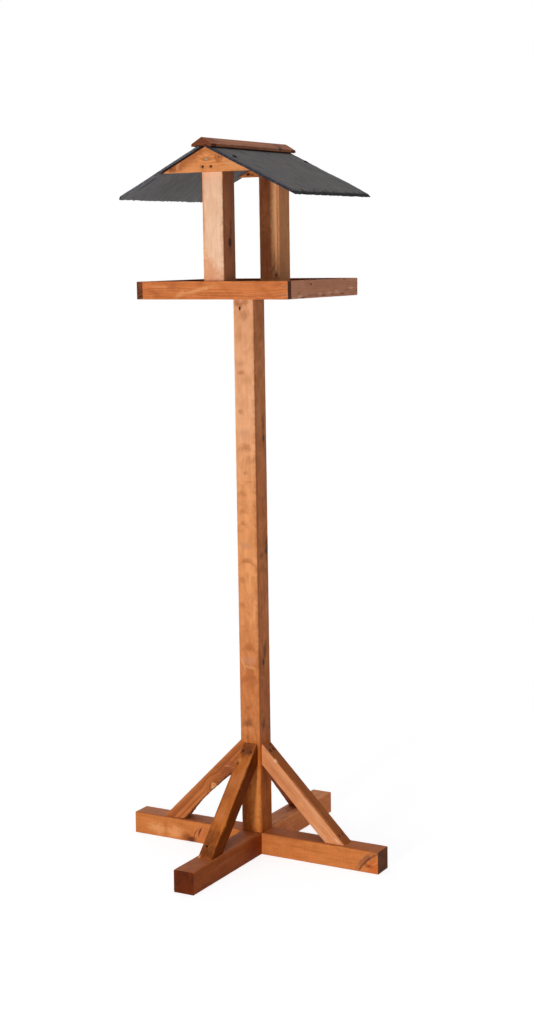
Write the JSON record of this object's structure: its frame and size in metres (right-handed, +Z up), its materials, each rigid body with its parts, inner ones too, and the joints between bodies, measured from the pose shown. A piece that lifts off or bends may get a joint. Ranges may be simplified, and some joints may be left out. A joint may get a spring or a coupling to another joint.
{
  "type": "bird table",
  "caption": "Free-standing garden bird table: a shallow timber feeding tray under a pitched slate roof on two uprights, carried by a square post on a braced cross base.",
  "frame": {"origin": "on the ground, at the centre of the cross base and under the middle of the post", "axes": "+Z up along the post; +Y along the roof ridge towards the rear gable, so the front gable faces -Y; +X towards the right-hand slate"},
  "size_m": [0.564, 0.564, 1.4112],
  "materials": {
    "timber": "planed softwood with an orange-brown stain",
    "tray_board": "planed softwood board with an orange-brown stain",
    "floor_panel": "thin stained panel",
    "ridge_timber": "softwood with a dark brown stain",
    "slate": "riven grey natural slate",
    "screw_steel": "dulled zinc plating",
    "black_nail": "black coated",
    "dowel_wood": "plain beech"
  },
  "bodies": {
    "root": {"base_beam_lower": "timber", "base_beam_upper": "timber", "foot_washer": "screw_steel", "foot_coach_screw": "screw_steel", "post": "timber", "brace_front": "timber", "brace_rear": "timber", "brace_left": "timber", "brace_right": "timber", "brace_screws_front": "screw_steel", "brace_screws_rear": "screw_steel", "brace_screws_left": "screw_steel", "brace_screws_right": "screw_steel", "tray_floor": "floor_panel", "tray_board_front": "tray_board", "tray_board_right": "tray_board", "tray_board_rear": "tray_board", "tray_board_left": "tray_board", "tray_nails": "screw_steel", "post_head_screws": "screw_steel", "upright_front": "timber", "upright_rear": "timber", "upright_foot_screws": "screw_steel", "gable_front": "timber", "gable_rear": "timber", "gable_screws": "screw_steel", "ridge_rail": "timber", "rail_screws": "screw_steel", "slate_left": "slate", "slate_right": "slate", "slate_nails": "black_nail", "ridge_cap": "ridge_timber", "ridge_end_front": "ridge_timber", "ridge_end_rear": "ridge_timber", "ridge_dowels": "dowel_wood", "ridge_screws": "screw_steel"}
  },
  "joints": []
}
